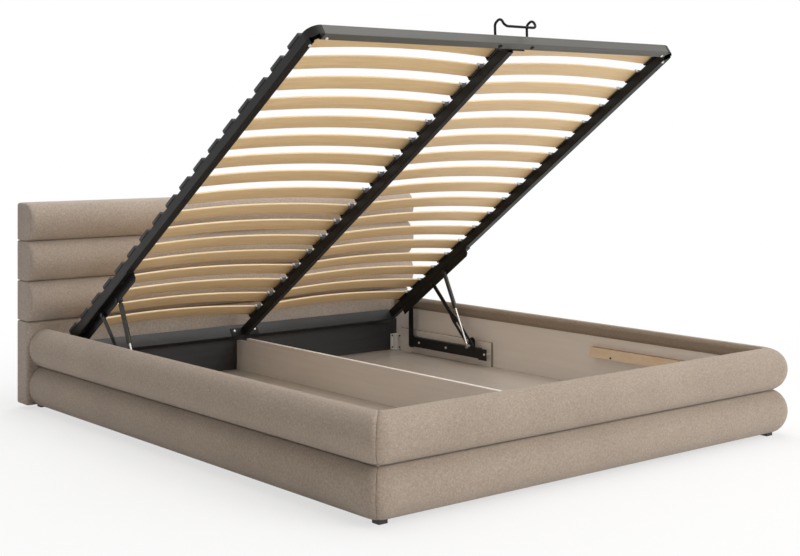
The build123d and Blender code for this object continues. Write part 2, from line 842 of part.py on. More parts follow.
def stay():
    """Slotted arm drawn along its own length, then laid between its two ends."""
    pivot, pin, eye, along = stay_points()
    closed_pivot_y = hinge_y + hinge_back - stay_pivot_back
    closed_pivot_z = hinge_height + hinge_drop - stay_pivot_drop
    slot_start = math.hypot(closed_pivot_y - pin[0], closed_pivot_z - pin[1])
    narrow = stay_narrow_share * strut_eye_reach
    wide = stay_wide_share * strut_eye_reach
    top = [(0, stay_top_radius), (narrow, stay_top_radius)]
    top += [(wide, stay_end_radius), (strut_eye_reach, stay_end_radius)]
    bottom = [(x, -y) for x, y in reversed(top)]
    outline = make_face(Polyline(*top, *bottom, close=True))
    outline += Circle(stay_top_radius)
    outline += Pos(strut_eye_reach, 0) * Circle(stay_end_radius)
    outline -= Circle(pin_radius + running_fit)
    slot_length = slot_pin_reach - slot_start
    slot = SlotCenterToCenter(slot_length, 2 * (pin_radius + slot_fit))
    outline -= Pos(slot_start + slot_length / 2, 0) * slot
    turn = math.degrees(math.atan2(along[1], along[0]))
    placed = side_x_plane(stay_x) * Pos(pivot[0], pivot[1]) * Rot(0, 0, turn) * outline
    rivet = bar_x(stay_x + stay_plate, stay_x + stay_plate + bolt_head_height, eye[0], eye[1], rivet_radius)
    return extrude(placed, stay_plate) + rivet


def along_strut(top, bottom, reach):
    """Point on the strut's line at a distance from its upper eye."""
    length = math.hypot(bottom[0] - top[0], bottom[1] - top[1])
    share = reach / length
    return (strut_x, top[0] + share * (bottom[0] - top[0]), top[1] + share * (bottom[1] - top[1]))


def write_struts():
    top = raised_point(strut_pivot_back, -strut_pivot_drop)
    bottom = stay_points()[2]
    length = math.hypot(bottom[0] - top[0], bottom[1] - top[1])
    start = along_strut(top, bottom, cylinder_start)
    end = along_strut(top, bottom, cylinder_length)
    half_eye = eye_width / 2
    barrel = rod_between(start, end, cylinder_radius)
    neck = rod_between(along_strut(top, bottom, 0), start, cylinder_neck_radius)
    eye = bar_x(strut_x - half_eye, strut_x + half_eye, top[0], top[1], eye_radius)
    cylinder = barrel + neck + eye
    cylinder -= bar_x(strut_x - half_eye - overrun, strut_x + half_eye + overrun, top[0], top[1],
                      small_pin_radius + running_fit)
    bore_end = along_strut(top, bottom, cylinder_length + overrun)
    cylinder -= rod_between(along_strut(top, bottom, cylinder_bore_start), bore_end, rod_radius + running_fit)
    write("gas_cylinder_right", cylinder)
    write("gas_cylinder_left", mirrored(cylinder))
    rod_start = along_strut(top, bottom, length - rod_length)
    rod = rod_between(rod_start, along_strut(top, bottom, length), rod_radius)
    rod += bar_x(strut_x - half_eye, strut_x + half_eye, bottom[0], bottom[1], eye_radius)
    rod += bar_x(strut_x, stay_x - layer_gap, bottom[0], bottom[1], cylinder_neck_radius)
    rod += bar_x(strut_x - half_eye - bolt_head_height, strut_x, bottom[0], bottom[1], cylinder_neck_radius)
    write("gas_rod_right", rod)
    write("gas_rod_left", mirrored(rod))
    arm = stay()
    write("stay_right", arm)
    write("stay_left", mirrored(arm))


write_headboard()
write_rolls()
write_boards()
write_box()
write_battens()
write_feet()
write_connectors()
write_brackets()
write_lid_frame()
write_slats()
write_lid_fixings()
write_lid_brackets()
write_struts()
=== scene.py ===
import bpy, json, math
from mathutils import Matrix, Vector, noise

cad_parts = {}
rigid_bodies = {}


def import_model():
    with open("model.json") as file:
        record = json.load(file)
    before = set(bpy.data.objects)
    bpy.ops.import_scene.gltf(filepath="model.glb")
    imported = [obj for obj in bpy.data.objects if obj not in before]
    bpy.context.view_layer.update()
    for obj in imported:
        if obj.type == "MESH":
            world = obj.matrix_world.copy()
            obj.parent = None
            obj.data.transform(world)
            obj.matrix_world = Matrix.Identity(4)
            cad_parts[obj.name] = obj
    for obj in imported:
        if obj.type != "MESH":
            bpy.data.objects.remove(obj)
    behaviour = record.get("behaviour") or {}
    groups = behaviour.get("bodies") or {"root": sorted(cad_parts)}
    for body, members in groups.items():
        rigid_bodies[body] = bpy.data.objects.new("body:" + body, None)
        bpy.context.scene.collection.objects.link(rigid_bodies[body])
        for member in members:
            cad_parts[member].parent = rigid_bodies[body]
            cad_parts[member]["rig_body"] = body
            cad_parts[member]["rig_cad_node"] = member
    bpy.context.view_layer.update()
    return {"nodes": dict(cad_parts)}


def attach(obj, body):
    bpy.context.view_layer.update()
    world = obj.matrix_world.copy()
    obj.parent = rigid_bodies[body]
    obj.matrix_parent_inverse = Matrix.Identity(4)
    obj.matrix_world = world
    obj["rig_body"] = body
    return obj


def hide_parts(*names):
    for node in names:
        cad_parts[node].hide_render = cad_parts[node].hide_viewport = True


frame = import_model()
cadNodes = frame["nodes"]
print("frame loaded:", len(cadNodes), "nodes")

# small helpers


def clearSelection():
    if bpy.context.object and bpy.context.object.mode != "OBJECT":
        objectMode()
    bpy.ops.object.select_all(action="DESELECT")


def pick(piece):
    clearSelection()
    piece.select_set(True)
    bpy.context.view_layer.objects.active = piece


def applyModifiers(piece):
    pick(piece)
    for modifier in list(piece.modifiers):
        bpy.ops.object.modifier_apply(modifier=modifier.name)


def objectMode():
    bpy.ops.object.mode_set(mode="OBJECT")


def editAll(piece):
    # edit mode with the whole mesh selected
    pick(piece)
    bpy.ops.object.mode_set(mode="EDIT")
    bpy.ops.mesh.select_all(action="SELECT")


def copyOf(piece, matrix):
    twin = piece.copy()
    twin.data = piece.data.copy()
    bpy.context.scene.collection.objects.link(twin)
    twin.matrix_world = matrix
    return twin


def joinAll(parts, name):
    clearSelection()
    for part in parts:
        part.select_set(True)
    bpy.context.view_layer.objects.active = parts[0]
    bpy.ops.object.transform_apply(location=True, rotation=True, scale=True)
    if len(parts) > 1:
        bpy.ops.object.join()
    whole = bpy.context.object
    whole.name = name
    whole.data.name = name
    return whole


def outwards(piece):
    editAll(piece)
    bpy.ops.mesh.normals_make_consistent(inside=False)
    objectMode()


def turnTowards(piece, index, direction):
    # flips a sheet whose faces look away from the direction
    if piece.data.polygons[index].normal.dot(direction) < 0:
        editAll(piece)
        bpy.ops.mesh.flip_normals()
        objectMode()


def thicken(piece, depth):
    thick = piece.modifiers.new("thickness", "SOLIDIFY")
    thick.thickness = depth
    thick.offset = -1
    applyModifiers(piece)


def shadeSoft(piece):
    pick(piece)
    bpy.ops.object.shade_smooth()


def dress(piece, material, body, nodes, smooth=30):
    piece.data.materials.clear()
    piece.data.materials.append(material)
    if smooth:
        pick(piece)
        bpy.ops.object.shade_smooth_by_angle(angle=math.radians(smooth))
    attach(piece, body)
    if nodes:
        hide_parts(*nodes)
    return piece


# camera, light and floor

view = {"place": (-3.178, -3.9311, 1.0441), "turn": -39.46, "lens": 63.06, "shiftY": -0.184, "sensor": 36, "far": 100}
bpy.ops.object.camera_add(location=view["place"], rotation=(math.radians(90), 0, math.radians(view["turn"])))
camera = bpy.context.object
camera.name = "camera"
camera.data.lens = view["lens"]
camera.data.sensor_width = view["sensor"]
camera.data.shift_y = view["shiftY"]
camera.data.clip_end = view["far"]
bpy.context.scene.camera = camera
bpy.context.scene.view_settings.view_transform = "Standard"

studio = {
    "key": {"place": (2.6, -6.6, 5.2), "size": 5.0, "power": 258},
    "front": {"place": (1.6, -7.6, 1.3), "size": 3.4, "power": 120},
    "fill": {"place": (-5.2, -1.5, 2.6), "size": 4.0, "power": 4},
    "top": {"place": (0.4, 0.2, 4.6), "size": 4.5, "power": 145},
    "back": {"place": (1.5, 4.2, 3.4), "size": 3.0, "power": 70},
}
studioLook = {"ambient": 0.31, "ambientColour": (1.0, 0.96, 0.92), "lampAim": (0, 0, 0.4),
              "floorColour": (0.9, 0.9, 0.9), "floorRough": 0.95, "floorRadius": 9.0, "floorSides": 96,
              "fadeStart": 1.4, "fadeEnd": 2.9, "fadeLeast": 0.65}
for name, lamp in studio.items():
    bpy.ops.object.light_add(type="AREA", location=lamp["place"])
    light = bpy.context.object
    light.name = name
    light.data.size = lamp["size"]
    light.data.energy = lamp["power"]
    aim = Vector(studioLook["lampAim"]) - Vector(lamp["place"])
    light.rotation_euler = aim.to_track_quat("-Z", "Y").to_euler()


def addNode(tree, kind, feeds=None, **settings):
    node = tree.nodes.new(kind)
    for key, value in settings.items():
        setattr(node, key, value)
    for socket, value in (feeds or {}).items():
        if isinstance(value, bpy.types.NodeSocket):
            tree.links.new(value, node.inputs[socket])
        else:
            node.inputs[socket].default_value = value
    return node


def mathNode(tree, operation, a, b=0.5):
    return addNode(tree, "ShaderNodeMath", {0: a, 1: b}, operation=operation).outputs[0]


def whiteRays(tree):
    # 1 for rays that see the backdrop directly, in a mirror or through glass
    path = addNode(tree, "ShaderNodeLightPath").outputs
    direct = mathNode(tree, "MAXIMUM", path["Is Camera Ray"], path["Is Glossy Ray"])
    return mathNode(tree, "MAXIMUM", direct, path["Is Transmission Ray"])


world = bpy.data.worlds.new("studioWorld")
bpy.context.scene.world = world
world.use_nodes = True
worldTree = world.node_tree
worldTree.nodes.clear()
ambient = addNode(worldTree, "ShaderNodeBackground",
                  {"Color": (*studioLook["ambientColour"], 1), "Strength": studioLook["ambient"]})
white = addNode(worldTree, "ShaderNodeBackground", {"Color": (1, 1, 1, 1), "Strength": 1})
worldMix = addNode(worldTree, "ShaderNodeMixShader",
                   {0: whiteRays(worldTree), 1: ambient.outputs[0], 2: white.outputs[0]})
addNode(worldTree, "ShaderNodeOutputWorld", {0: worldMix.outputs[0]})

bpy.ops.mesh.primitive_circle_add(vertices=studioLook["floorSides"], radius=studioLook["floorRadius"],
                                  fill_type="NGON", location=(0, 0, 0))
floor = bpy.context.object
floor.name = "studioFloor"
floorMaterial = bpy.data.materials.new("studioFloor")
floorMaterial.use_nodes = True
floorTree = floorMaterial.node_tree
floorShader = floorTree.nodes["Principled BSDF"]
floorShader.inputs["Base Color"].default_value = (*studioLook["floorColour"], 1)
floorShader.inputs["Roughness"].default_value = studioLook["floorRough"]
floorShader.inputs["Specular IOR Level"].default_value = 0.0
# the floor fades to plain white away from the bed
floorPlace = addNode(floorTree, "ShaderNodeTexCoord").outputs["Object"]
floorAway = addNode(floorTree, "ShaderNodeVectorMath", {0: floorPlace}, operation="LENGTH").outputs["Value"]
floorFade = addNode(floorTree, "ShaderNodeMapRange",
                    {"Value": floorAway, "From Min": studioLook["fadeStart"], "From Max": studioLook["fadeEnd"],
                     "To Min": studioLook["fadeLeast"]}).outputs["Result"]
floorSeen = mathNode(floorTree, "MULTIPLY", floorFade, whiteRays(floorTree))
floorGlow = addNode(floorTree, "ShaderNodeEmission")
floorMix = addNode(floorTree, "ShaderNodeMixShader",
                   {0: floorSeen, 1: floorShader.outputs["BSDF"], 2: floorGlow.outputs["Emission"]})
floorTree.links.new(floorMix.outputs[0], floorTree.nodes["Material Output"].inputs["Surface"])
floor.data.materials.append(floorMaterial)
print("camera and studio ready")

# shared shader effects


def startGroup(name, inputs, outputs):
    group = bpy.data.node_groups.new(name, "ShaderNodeTree")
    for label, kind, value in inputs:
        socket = group.interface.new_socket(label, in_out="INPUT", socket_type=kind)
        if value is not None:
            socket.default_value = value
    for label, kind in outputs:
        group.interface.new_socket(label, in_out="OUTPUT", socket_type=kind)
    entry = group.nodes.new("NodeGroupInput")
    leave = group.nodes.new("NodeGroupOutput")
    return group, entry, leave


def mixColour(tree, factor, a, b):
    node = addNode(tree, "ShaderNodeMix", data_type="RGBA")
    for socket, value in (("Factor_Float", factor), ("A_Color", a), ("B_Color", b)):
        target = next(s for s in node.inputs if s.identifier == socket)
        if isinstance(value, bpy.types.NodeSocket):
            tree.links.new(value, target)
        else:
            target.default_value = value
    return next(s for s in node.outputs if s.identifier == "Result_Color")


def mapRange(tree, value, low, high, toLow, toHigh):
    feeds = {"Value": value, "From Min": low, "From Max": high, "To Min": toLow, "To Max": toHigh}
    return addNode(tree, "ShaderNodeMapRange", feeds, clamp=True).outputs["Result"]


colour, number, vector = "NodeSocketColor", "NodeSocketFloat", "NodeSocketVector"


def scaled(tree, value, factor):
    return mathNode(tree, "MULTIPLY", value, factor)


def noiseNode(tree, where, scale, detail, **feeds):
    inputs = {"Vector": where, "Scale": scale, "Detail": detail}
    inputs.update({key.title(): value for key, value in feeds.items()})
    return addNode(tree, "ShaderNodeTexNoise", inputs).outputs["Fac"]


def makeHeatherWeave():
    # two yarn tones, a plain weave and small slubs
    inputs = [("Vector", vector, None), ("Light Yarn", colour, (0.5, 0.44, 0.37, 1)),
              ("Dark Yarn", colour, (0.3, 0.26, 0.21, 1)), ("Thread", number, 900.0), ("Contrast", number, 0.5)]
    outputs = [("Color", colour), ("Height", number), ("Roughness", number)]
    group, entry, leave = startGroup("heatherWeave", inputs, outputs)
    where, thread = entry.outputs["Vector"], entry.outputs["Thread"]
    fibre = noiseNode(group, where, scaled(group, thread, 0.5), 3.0, roughness=0.7)
    slub = noiseNode(group, where, scaled(group, thread, 0.16), 4.0, roughness=0.75)
    patch = noiseNode(group, where, scaled(group, thread, 0.006), 2.0)
    knots = addNode(group, "ShaderNodeTexVoronoi", {"Vector": where, "Scale": scaled(group, thread, 0.42)})
    blend = mathNode(group, "ADD", scaled(group, fibre, 0.5), scaled(group, slub, 0.5))
    tone = mathNode(group, "SUBTRACT", mapRange(group, blend, 0.38, 0.62, 0.0, 1.0), 0.5)
    tone = scaled(group, tone, entry.outputs["Contrast"])
    tone = mathNode(group, "ADD", tone, mapRange(group, patch, 0.3, 0.7, 0.42, 0.58))
    shade = mixColour(group, tone, entry.outputs["Dark Yarn"], entry.outputs["Light Yarn"])
    height = mathNode(group, "ADD", scaled(group, knots.outputs["Distance"], 0.7), scaled(group, slub, 0.5))
    group.links.new(shade, leave.inputs["Color"])
    group.links.new(height, leave.inputs["Height"])
    group.links.new(mapRange(group, fibre, 0.3, 0.7, 0.82, 0.98), leave.inputs["Roughness"])
    return group


def makeWoodGrain():
    # long fibres along the grain axis with growth bands and pores
    inputs = [("Vector", vector, None), ("Early Wood", colour, (0.8, 0.65, 0.42, 1)),
              ("Late Wood", colour, (0.6, 0.43, 0.24, 1)), ("Bands", number, 9.0), ("Pores", number, 0.5)]
    outputs = [("Color", colour), ("Height", number), ("Roughness", number)]
    group, entry, leave = startGroup("woodGrain", inputs, outputs)
    where, rings = entry.outputs["Vector"], entry.outputs["Bands"]
    warp = noiseNode(group, where, 1.6, 3.0, distortion=0.4)
    bands = noiseNode(group, where, rings, 4.0, roughness=0.62, distortion=0.25)
    fibre = noiseNode(group, where, scaled(group, rings, 9.0), 3.0, roughness=0.7)
    blend = mathNode(group, "ADD", scaled(group, bands, 0.75), scaled(group, warp, 0.25))
    tone = mapRange(group, blend, 0.36, 0.64, 0.0, 1.0)
    base = mixColour(group, tone, entry.outputs["Early Wood"], entry.outputs["Late Wood"])
    pore = scaled(group, mapRange(group, fibre, 0.56, 0.7, 0.0, 1.0), entry.outputs["Pores"])
    shade = mixColour(group, scaled(group, pore, 0.5), base, entry.outputs["Late Wood"])
    group.links.new(shade, leave.inputs["Color"])
    group.links.new(mathNode(group, "SUBTRACT", fibre, pore), leave.inputs["Height"])
    group.links.new(mapRange(group, fibre, 0.3, 0.7, 0.42, 0.6), leave.inputs["Roughness"])
    return group


def makePowderCoat():
    # fine orange peel, faint scuffs and an uneven gloss
    inputs = [("Vector", vector, None), ("Coat", colour, (0.03, 0.03, 0.03, 1)),
              ("Scuff", colour, (0.12, 0.12, 0.12, 1)), ("Gloss", number, 0.35)]
    outputs = [("Color", colour), ("Height", number), ("Roughness", number)]
    group, entry, leave = startGroup("powderCoat", inputs, outputs)
    where = entry.outputs["Vector"]
    peel = noiseNode(group, where, 650.0, 2.0)
    scuff = noiseNode(group, where, 14.0, 6.0, roughness=0.7)
    mask = mapRange(group, scuff, 0.55, 0.75, 0.0, 0.5)
    rough = mathNode(group, "ADD", entry.outputs["Gloss"], mapRange(group, scuff, 0.3, 0.7, -0.05, 0.12))
    group.links.new(mixColour(group, mask, entry.outputs["Coat"], entry.outputs["Scuff"]), leave.inputs["Color"])
    group.links.new(peel, leave.inputs["Height"])
    group.links.new(rough, leave.inputs["Roughness"])
    return group


def makeEdgeWear():
    # where an edge is rounded off, from the difference between bevelled and true normals
    inputs = [("Radius", number, 0.002), ("Vector", vector, None)]
    group, entry, leave = startGroup("edgeWear", inputs, [("Mask", number)])
    soft = addNode(group, "ShaderNodeBevel", {"Radius": entry.outputs["Radius"]}, samples=4)
    hard = addNode(group, "ShaderNodeNewGeometry")
    turn = addNode(group, "ShaderNodeVectorMath", {0: soft.outputs[0], 1: hard.outputs["Normal"]},
                   operation="DOT_PRODUCT")
    grain = noiseNode(group, entry.outputs["Vector"], 60.0, 4.0)
    edge = mapRange(group, turn.outputs["Value"], 0.995, 0.9, 0.0, 1.0)
    group.links.new(scaled(group, edge, grain), leave.inputs["Mask"])
    return group


def makeEdgeBand():
    # a board's face colour, with a band of another one on the edges that don't face across the bed; on the pine
    # battens that band is painted shadow
    inputs = [("Normal", vector, None), ("Face", colour, (0.8, 0.7, 0.6, 1)), ("Band", colour, (0.3, 0.25, 0.2, 1))]
    group, entry, leave = startGroup("edgeBand", inputs, [("Color", colour)])
    parts = addNode(group, "ShaderNodeSeparateXYZ", {"Vector": entry.outputs["Normal"]})
    mask = mapRange(group, mathNode(group, "ABSOLUTE", parts.outputs["X"]), 0.5, 0.8, 0.0, 1.0)
    group.links.new(mixColour(group, mask, entry.outputs["Band"], entry.outputs["Face"]), leave.inputs["Color"])
    return group


weaveGroup = makeHeatherWeave()
bandGroup = makeEdgeBand()
grainGroup = makeWoodGrain()
coatGroup = makePowderCoat()
wearGroup = makeEdgeWear()


def startMaterial(name):
    material = bpy.data.materials.new(name)
    material.use_nodes = True
    tree = material.node_tree
    shader = tree.nodes["Principled BSDF"]
    return material, tree, shader


def placeOf(tree, scale=(1, 1, 1)):
    where = addNode(tree, "ShaderNodeTexCoord").outputs["Object"]
    return addNode(tree, "ShaderNodeMapping", {"Vector": where, "Scale": scale}).outputs["Vector"]


def bumpInto(tree, shader, height, strength, distance):
    bump = addNode(tree, "ShaderNodeBump", {"Height": height, "Strength": strength, "Distance": distance})
    tree.links.new(bump.outputs["Normal"], shader.inputs["Normal"])


clothBump = {"strength": 0.5, "distance": 0.0012}
woodBump = {"strength": 0.2, "distance": 0.0006}
coatBump = {"strength": 0.12, "distance": 0.0002}


def clothMaterial(name, light, dark, thread, contrast, sheen=0.25):
    material, tree, shader = startMaterial(name)
    feeds = {"Vector": placeOf(tree), "Light Yarn": (*light, 1), "Dark Yarn": (*dark, 1),
             "Thread": thread, "Contrast": contrast}
    weave = addNode(tree, "ShaderNodeGroup", feeds, node_tree=weaveGroup).outputs
    tree.links.new(weave["Color"], shader.inputs["Base Color"])
    tree.links.new(weave["Roughness"], shader.inputs["Roughness"])
    shader.inputs["Specular IOR Level"].default_value = 0.2
    shader.inputs["Sheen Weight"].default_value = sheen
    shader.inputs["Sheen Roughness"].default_value = 0.5
    bumpInto(tree, shader, weave["Height"], **clothBump)
    return material


def woodMaterial(name, early, late, bands, pores, scale, coat=0.0, band=None):
    material, tree, shader = startMaterial(name)
    feeds = {"Vector": placeOf(tree, scale), "Early Wood": (*early, 1), "Late Wood": (*late, 1),
             "Bands": bands, "Pores": pores}
    grain = addNode(tree, "ShaderNodeGroup", feeds, node_tree=grainGroup).outputs
    shade = grain["Color"]
    if band:
        facing = addNode(tree, "ShaderNodeTexCoord").outputs["Normal"]
        feeds = {"Normal": facing, "Face": shade, "Band": (*band, 1)}
        shade = addNode(tree, "ShaderNodeGroup", feeds, node_tree=bandGroup).outputs["Color"]
    tree.links.new(shade, shader.inputs["Base Color"])
    tree.links.new(grain["Roughness"], shader.inputs["Roughness"])
    shader.inputs["Coat Weight"].default_value = coat
    bumpInto(tree, shader, grain["Height"], **woodBump)
    return material


def metalMaterial(name, coat, scuff, gloss, metallic=0.0, specular=0.5):
    material, tree, shader = startMaterial(name)
    where = placeOf(tree)
    feeds = {"Vector": where, "Coat": (*coat, 1), "Scuff": (*scuff, 1), "Gloss": gloss}
    powder = addNode(tree, "ShaderNodeGroup", feeds, node_tree=coatGroup).outputs
    wear = addNode(tree, "ShaderNodeGroup", {"Vector": where}, node_tree=wearGroup)
    worn = mixColour(tree, wear.outputs["Mask"], powder["Color"], (*scuff, 1))
    tree.links.new(worn, shader.inputs["Base Color"])
    tree.links.new(powder["Roughness"], shader.inputs["Roughness"])
    shader.inputs["Metallic"].default_value = metallic
    shader.inputs["Specular IOR Level"].default_value = specular
    bumpInto(tree, shader, powder["Height"], **coatBump)
    return material


boardLook = {"bands": 5.0, "pores": 0.2, "scale": (9, 0.6, 9)}
taupeCloth = clothMaterial("taupeCloth", (0.470, 0.383, 0.305), (0.282, 0.225, 0.180), 900.0, 0.95)
# a slightly lighter, cooler copy of taupeCloth for the same fabric on the headboard; the difference is painted light
# that offsets the warm light bounced from the slats
headClothLightOffset = clothMaterial("headClothLightOffset", (0.480, 0.402, 0.334), (0.288, 0.237, 0.198), 900.0, 0.95)
liningCloth = clothMaterial("liningCloth", (0.44, 0.36, 0.285), (0.27, 0.215, 0.165), 900.0, 0.6, 0.1)
backingCloth = clothMaterial("backingCloth", (0.05, 0.05, 0.05), (0.02, 0.02, 0.02), 700.0, 0.5, 0.1)
boardGrain = woodMaterial("boardGrain", (0.95, 0.905, 0.865), (0.91, 0.86, 0.81), **boardLook)
mountGrain = woodMaterial("mountGrain", (0.95, 0.905, 0.865), (0.91, 0.86, 0.81), **boardLook,
                          band=(0.25, 0.21, 0.17))
dividerGrain = woodMaterial("dividerGrain", (0.90, 0.84, 0.78), (0.85, 0.785, 0.72), **boardLook,
                            band=(0.93, 0.89, 0.84))
floorGrain = woodMaterial("floorGrain", (0.47, 0.415, 0.36), (0.43, 0.375, 0.32), **boardLook, coat=0.3)
acrossGrain = woodMaterial("acrossGrain", (0.60, 0.53, 0.455), (0.50, 0.44, 0.37), 5.0, 0.3, (0.6, 9, 9))
darkBoard = woodMaterial("darkBoard", (0.018, 0.018, 0.018), (0.028, 0.027, 0.026), 5.0, 0.3, (0.6, 9, 9))
# the dark band on the battens' edge faces is painted shadow, for the shaded gap along their tops
pineWood = woodMaterial("pineWood", (0.98, 0.83, 0.64), (0.86, 0.61, 0.39), 5.0, 0.6, (5, 1.3, 5),
                        band=(0.26, 0.16, 0.09))
timberWood = woodMaterial("timberWood", (0.62, 0.46, 0.28), (0.48, 0.33, 0.18), 7.0, 0.5, (0.5, 7, 7))
beechFace = woodMaterial("beechFace", (0.87, 0.64, 0.355), (0.78, 0.545, 0.28), 8.0, 0.6, (0.7, 12, 12), coat=0.15)
beechEdge = woodMaterial("beechEdge", (0.86, 0.68, 0.43), (0.74, 0.55, 0.31), 8.0, 0.6, (0.7, 30, 30), coat=0.1)
frameCoat = metalMaterial("frameCoat", (0.008, 0.0075, 0.007), (0.03, 0.029, 0.027), 0.34, specular=0.22)
# the foot tube has the same black coat as the frame; its lighter colour here is painted sheen on the tube
footCoatSheen = metalMaterial("footCoatSheen", (0.098, 0.095, 0.084), (0.13, 0.126, 0.112), 0.36, specular=0.35)
wireCoat = metalMaterial("wireCoat", (0.004, 0.004, 0.004), (0.010, 0.010, 0.010), 0.5, specular=0.15)
strutCoat = metalMaterial("strutCoat", (0.026, 0.025, 0.019), (0.06, 0.058, 0.048), 0.24, metallic=0.3, specular=0.5)
headCoat = metalMaterial("headCoat", (0.016, 0.016, 0.016), (0.05, 0.05, 0.049), 0.36)
linkCoat = metalMaterial("linkCoat", (0.010, 0.010, 0.010), (0.05, 0.05, 0.05), 0.42, specular=0.4)
zincPlate = metalMaterial("zincPlate", (0.90, 0.90, 0.88), (0.72, 0.72, 0.70), 0.32, metallic=0.35)
darkSteel = metalMaterial("darkSteel", (0.03, 0.03, 0.03), (0.10, 0.10, 0.095), 0.36, metallic=0.5)
brightSteel = metalMaterial("brightSteel", (0.62, 0.61, 0.59), (0.42, 0.41, 0.40), 0.22, metallic=1.0)
blackPlastic = metalMaterial("blackPlastic", (0.02, 0.02, 0.02), (0.06, 0.06, 0.06), 0.5)
# pale grey of the holder tabs: partly their own colour, partly painted highlight for glints on the black holders
tabGreyAndGlint = metalMaterial("tabGreyAndGlint", (0.56, 0.56, 0.54), (0.48, 0.48, 0.46), 0.45)
whitePlastic = metalMaterial("whitePlastic", (0.93, 0.92, 0.89), (0.86, 0.85, 0.82), 0.4)
print("materials ready")

cadLooks = {
    "rail_board_left": boardGrain, "rail_board_right": boardGrain, "rail_board_foot": acrossGrain,
    "divider": dividerGrain, "mount_board_left": mountGrain, "mount_board_right": mountGrain,
    "floor_left": floorGrain, "floor_right": floorGrain, "floor_bearers": timberWood,
    "headboard_core": timberWood, "head_panel": darkBoard, "side_battens": pineWood, "foot_battens": timberWood,
    "feet": blackPlastic, "stay_left": linkCoat, "stay_right": linkCoat,
    "lift_bracket_left": linkCoat, "lift_bracket_right": linkCoat,
    "gas_cylinder_left": strutCoat, "gas_cylinder_right": strutCoat,
    "gas_rod_left": brightSteel, "gas_rod_right": brightSteel,
    "bracket_screws": zincPlate, "pivot_pins": darkSteel, "slot_pins": darkSteel,
    "lid_tube_foot": footCoatSheen, "lid_tube_head": headCoat,
    "mattress_retainer": wireCoat, "retainer_eyelets": wireCoat,
}
hardEdge = 28
for name, node in cadNodes.items():
    node.data.materials.clear()
    node.data.materials.append(cadLooks.get(name, frameCoat))
    pick(node)
    bpy.ops.object.shade_smooth_by_angle(angle=math.radians(hardEdge))
print("finishes on the frame nodes")

# upholstery

bed = {"boardX": 0.867, "boardY": -1.031, "headY": 0.995, "joinZ": 0.158, "topZ": 0.301, "lowZ": 0.015,
       "rollHigh": 0.143, "rollDeep": 0.054, "joinOut": 0.009, "underOut": 0.016, "crownOut": -0.014,
       "boardTop": 0.2856, "innerOut": -0.0198}
padding = {"pressure": 4.0, "frames": 20, "cap": 0.005, "shrink": 0.002, "fill": 0.85, "gap": 0.0003,
           "uneven": 0.0007, "broad": 3.1, "fine": 8.3, "fineShare": 0.5}
# how far from a seam or a tacked edge the cover is fully free
freeing = {"rollOut": 0.012, "rollSpan": 0.03, "diagonal": 1.414, "endSpan": 0.04,
           "channelOut": 0.008, "channelSpan": 0.03, "channelSide": 0.925, "sideSpan": 0.02}
clothSettings = {"quality": 3, "mass": 0.3, "tension_stiffness": 40, "compression_stiffness": 40,
                 "shear_stiffness": 20, "bending_stiffness": 1.0, "use_pressure": True,
                 "uniform_pressure_force": padding["pressure"], "vertex_group_mass": "held", "pin_stiffness": 2}


def copySolid(node):
    piece = copyOf(cadNodes[node], Matrix.Identity(4))
    piece.parent = None
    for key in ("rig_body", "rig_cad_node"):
        if key in piece:
            del piece[key]
    editAll(piece)
    bpy.ops.mesh.remove_doubles(threshold=0.00005)
    bpy.ops.mesh.normals_make_consistent(inside=False)
    objectMode()
    piece.data.materials.clear()
    return piece


def rollShare(point):
    # 0 where the cover is tacked to the board or sewn, 1 where it is free to swell
    out, beyond = abs(point.x) - bed["boardX"], bed["boardY"] - point.y
    held = (max(out, beyond) - freeing["rollOut"]) / freeing["rollSpan"]
    seam = abs(out - beyond) / freeing["diagonal"] / freeing["rollSpan"]
    end = (bed["headY"] - point.y) / freeing["endSpan"]
    return max(0, min(1, held, seam, end))


def channelShare(point):
    front = (bed["headY"] - point.y - freeing["channelOut"]) / freeing["channelSpan"]
    side = (freeing["channelSide"] - abs(point.x)) / freeing["sideSpan"]
    return max(0, min(1, front, side))


def swell(piece, share):
    # cloth under light pressure, held at its seams, with its movement capped
    rest = [v.co.copy() for v in piece.data.vertices]
    free = [share(place) for place in rest]
    normals = [v.normal.copy() for v in piece.data.vertices]
    group = piece.vertex_groups.new(name="held")
    for v, loose, normal in zip(piece.data.vertices, free, normals):
        group.add([v.index], 1 - loose, "REPLACE")
        v.co -= normal * padding["shrink"] * loose
    pick(piece)
    cloth = piece.modifiers.new("cloth", "CLOTH")
    for key, value in clothSettings.items():
        setattr(cloth.settings, key, value)
    cloth.settings.effector_weights.gravity = 0
    cloth.point_cache.frame_start = 1
    cloth.point_cache.frame_end = padding["frames"]
    for step in range(1, padding["frames"] + 1):
        bpy.context.scene.frame_set(step)
    bpy.ops.object.modifier_apply(modifier="cloth")
    bpy.context.scene.frame_set(1)
    for v, start, loose in zip(piece.data.vertices, rest, free):
        move = v.co - start
        limit = padding["cap"] * loose
        if move.length > limit:
            move *= limit / max(move.length, 1e-9)
        v.co = start + move
    piece.vertex_groups.clear()


def finishPad(piece, name, node, share, cloth):
    piece.name = name
    piece.data.name = name
    swell(piece, share)
    piece.data.update()
    normals = [v.normal.copy() for v in piece.data.vertices]
    for v, normal in zip(piece.data.vertices, normals):
        soft = noise.noise(v.co * padding["broad"]) + padding["fineShare"] * noise.noise(v.co * padding["fine"])
        v.co += normal * soft * padding["uneven"] * share(v.co)
    finer = piece.modifiers.new("finer", "SUBSURF")
    finer.levels = 1
    finer.render_levels = 1
    applyModifiers(piece)
    dress(piece, cloth, "base", [node], smooth=0)
    shadeSoft(piece)


# the two stacked rolls round the base

